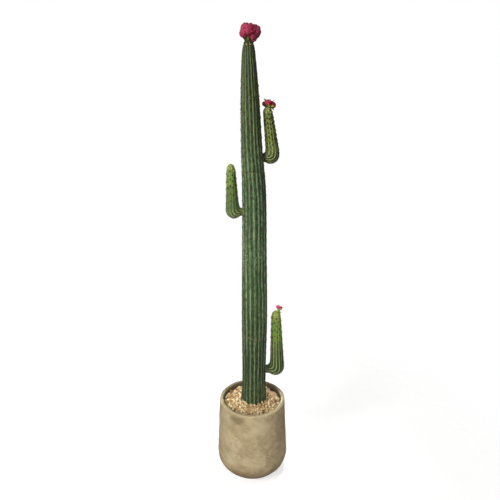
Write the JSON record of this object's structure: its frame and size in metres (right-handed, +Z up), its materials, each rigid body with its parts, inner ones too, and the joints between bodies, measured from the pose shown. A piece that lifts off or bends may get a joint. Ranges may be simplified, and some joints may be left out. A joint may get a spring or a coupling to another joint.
{
  "type": "artificial potted column cactus",
  "caption": "Tall artificial column cactus with ribbed trunk, upturned side arms and magenta blooms, set in gravel in a round-bottomed cement-look pot.",
  "frame": {"origin": "centre of the pot's flat underside, on the floor", "axes": "+Z up along the trunk, -Y towards the viewer of the picture, +X to the viewer's right"},
  "size_m": [0.268, 0.268, 1.6003],
  "materials": {
    "pot": "matte",
    "gravel": "matte",
    "trunk": "matte",
    "arm": "matte",
    "bloom": "matte",
    "flower": "matte",
    "bud": "matte"
  },
  "bodies": {
    "root": {"pot": "pot", "gravel_bed": "gravel", "trunk_base": "trunk", "trunk_lower": "trunk", "trunk_upper": "trunk", "trunk_crown": "trunk", "left_arm_elbow": "arm", "left_arm_upright": "arm", "upper_right_arm_elbow": "arm", "upper_right_arm_upright": "arm", "lower_right_arm_elbow": "arm", "lower_right_arm_upright": "arm", "top_bloom": "bloom", "upper_right_flower": "flower", "lower_right_buds": "bud"}
  },
  "joints": []
}
